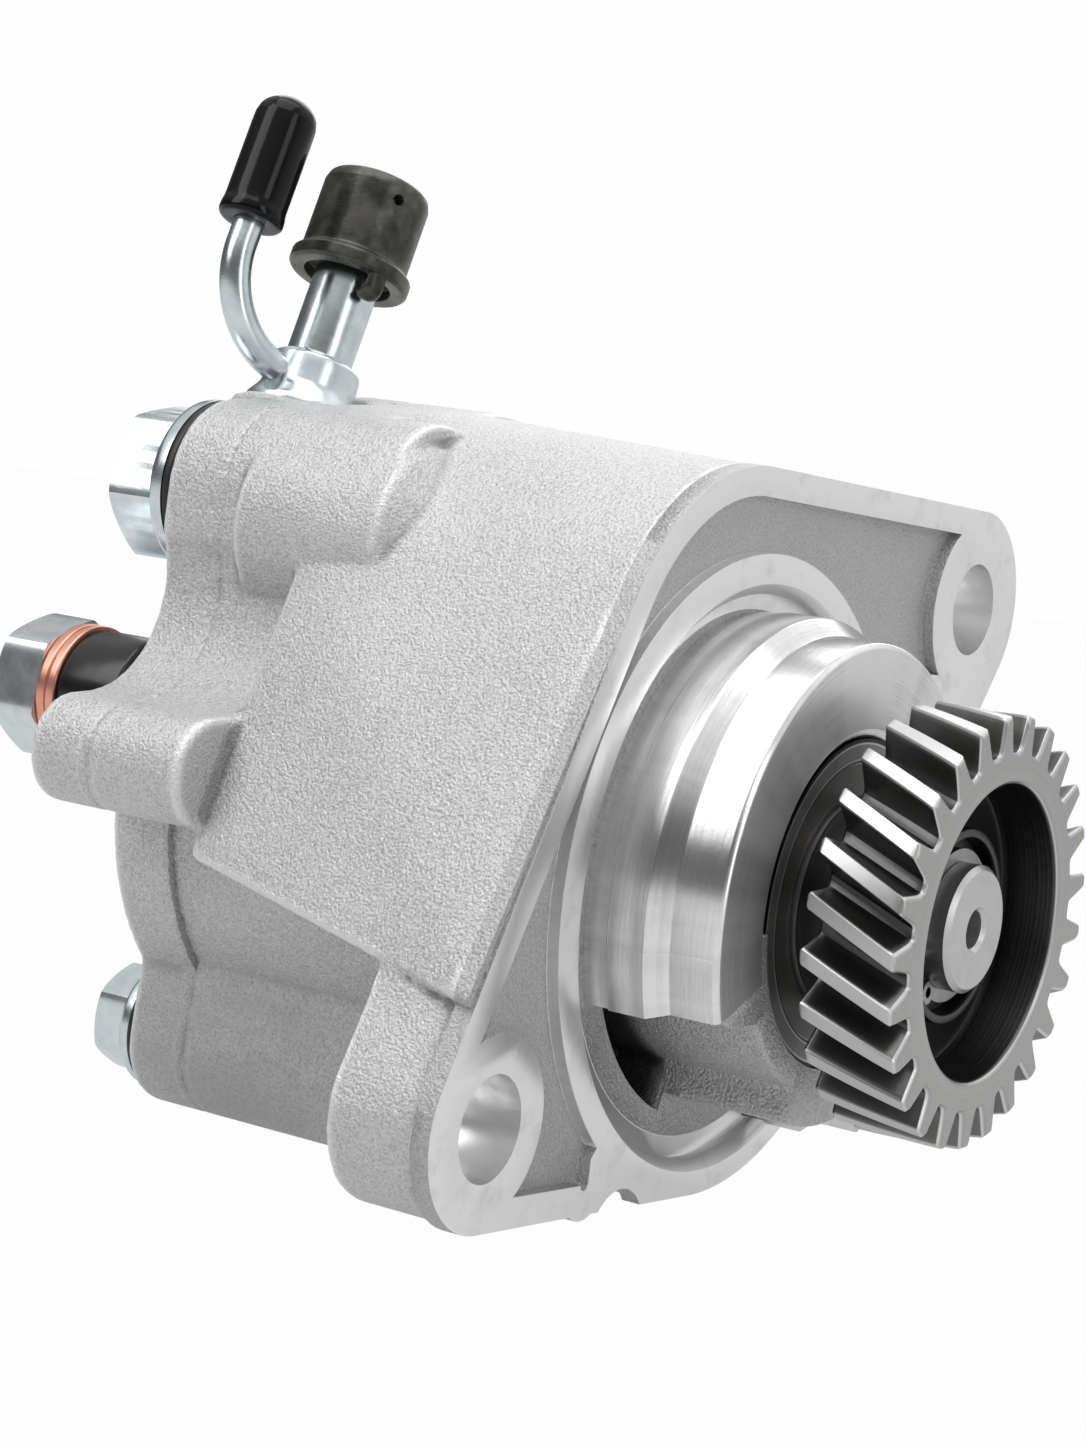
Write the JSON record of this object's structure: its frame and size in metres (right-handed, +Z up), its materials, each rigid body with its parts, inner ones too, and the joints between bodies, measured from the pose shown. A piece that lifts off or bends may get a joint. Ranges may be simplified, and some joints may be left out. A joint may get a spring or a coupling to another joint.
{
  "type": "vacuum pump",
  "caption": "Flange-mounted sliding-vane vacuum pump: cast body with pilot nose, helical drive gear, lobed rear cover, hex plugs and capped inlet tubes.",
  "frame": {"origin": "on the shaft's axis, in the plane of the mounting flange's machined face, at the root of the pilot", "axes": "+X along the shaft from the rear cover to the drive gear; +Z up as the picture shows the pump; +Y to the right of someone who looks at the gear's side from behind the lower ear, so that the upper ear is at +Y"},
  "size_m": [0.1297, 0.1369, 0.1363],
  "materials": {
    "pump_housing": "die-cast, fine blasted grain, machined faces bright",
    "rear_cover": "die-cast, fine blasted grain",
    "cover_seal": "moulded",
    "cam_liner": "honed bore",
    "front_side_plate": "ground",
    "rear_side_plate": "ground",
    "liner_dowels": "ground",
    "bearing_outer_race": "ground",
    "bearing_shield": "pressed sheet",
    "shaft_oil_seal": "moulded",
    "rear_bush": "turned",
    "cover_bolts": "zinc-plated, bluish",
    "cover_bolt_seals": "moulded",
    "lobe_screw": "black oxide",
    "valve_plug": "zinc-plated, bluish",
    "valve_plug_seal": "moulded",
    "valve_seat": "turned",
    "union_bolt": "zinc-plated, bluish",
    "union_washers": "bright copper",
    "union_sleeve": "smooth, dark",
    "inlet_fitting": "zinc-plated, bluish",
    "inlet_tube": "zinc-plated, bluish",
    "bleed_tube": "zinc-plated, bluish",
    "drive_shaft": "turned",
    "drive_gear": "hobbed, dark satin",
    "gear_key": "drawn bar",
    "gear_circlip": "phosphated",
    "rotor": "ground",
    "bearing_inner_race": "ground",
    "bearing_balls": "polished",
    "bearing_cage": "machined",
    "vane_1": "carbon-filled",
    "vane_2": "carbon-filled",
    "vane_3": "carbon-filled",
    "vane_4": "carbon-filled",
    "valve_poppet": "turned",
    "valve_spring": "spring wire",
    "inlet_cap": "moulded, satin",
    "bleed_cap": "dipped, glossy"
  },
  "bodies": {
    "housing": {"pump_housing": "pump_housing", "rear_cover": "rear_cover", "cover_seal": "cover_seal", "cam_liner": "cam_liner", "front_side_plate": "front_side_plate", "rear_side_plate": "rear_side_plate", "liner_dowels": "liner_dowels", "bearing_outer_race": "bearing_outer_race", "bearing_shield": "bearing_shield", "shaft_oil_seal": "shaft_oil_seal", "rear_bush": "rear_bush", "cover_bolts": "cover_bolts", "cover_bolt_seals": "cover_bolt_seals", "lobe_screw": "lobe_screw", "valve_plug": "valve_plug", "valve_plug_seal": "valve_plug_seal", "valve_seat": "valve_seat", "union_bolt": "union_bolt", "union_washers": "union_washers", "union_sleeve": "union_sleeve", "inlet_fitting": "inlet_fitting", "inlet_tube": "inlet_tube", "bleed_tube": "bleed_tube"},
    "shaft": {"drive_shaft": "drive_shaft", "drive_gear": "drive_gear", "gear_key": "gear_key", "gear_circlip": "gear_circlip", "rotor": "rotor", "bearing_inner_race": "bearing_inner_race"},
    "ball_cage": {"bearing_balls": "bearing_balls", "bearing_cage": "bearing_cage"},
    "vane_a": {"vane_1": "vane_1"},
    "vane_b": {"vane_2": "vane_2"},
    "vane_c": {"vane_3": "vane_3"},
    "vane_d": {"vane_4": "vane_4"},
    "poppet": {"valve_poppet": "valve_poppet", "valve_spring": "valve_spring"},
    "large_cap": {"inlet_cap": "inlet_cap"},
    "small_cap": {"bleed_cap": "bleed_cap"}
  },
  "joints": [
    {"name": "shaft_spin", "type": "hinge", "parent": "housing", "child": "shaft", "pos_m": [0, 0, 0], "axis": [1, 0, 0], "continuous": true},
    {"name": "cage_spin", "type": "hinge", "parent": "housing", "child": "ball_cage", "pos_m": [0.0088, 0, 0], "axis": [1, 0, 0], "continuous": true},
    {"name": "vane_a_slide", "type": "slide", "parent": "shaft", "child": "vane_a", "axis": [0, -0.7071, -0.7071], "range_m": [0, 0.0025]},
    {"name": "vane_b_slide", "type": "slide", "parent": "shaft", "child": "vane_b", "axis": [0, 0.7071, -0.7071], "range_m": [0, 0.0025]},
    {"name": "vane_c_slide", "type": "slide", "parent": "shaft", "child": "vane_c", "axis": [0, 0.7071, 0.7071], "range_m": [0, 0.0025]},
    {"name": "vane_d_slide", "type": "slide", "parent": "shaft", "child": "vane_d", "axis": [0, -0.7071, 0.7071], "range_m": [0, 0.0025]},
    {"name": "poppet_lift", "type": "slide", "parent": "housing", "child": "poppet", "axis": [-1, 0, 0], "range_m": [0, 0.0028], "stiffness_N_per_m": 300, "springref_m": -0.002},
    {"name": "inlet_cap_pull", "type": "slide", "parent": "housing", "child": "large_cap", "axis": [0, 0.342, 0.9397], "range_m": [0, 0.03]},
    {"name": "bleed_cap_pull", "type": "slide", "parent": "housing", "child": "small_cap", "axis": [0, 0.342, 0.9397], "range_m": [0, 0.03]}
  ],
  "couplings": [
    {"joint": "cage_spin", "follows": "shaft_spin", "ratio": 0.4}
  ]
}
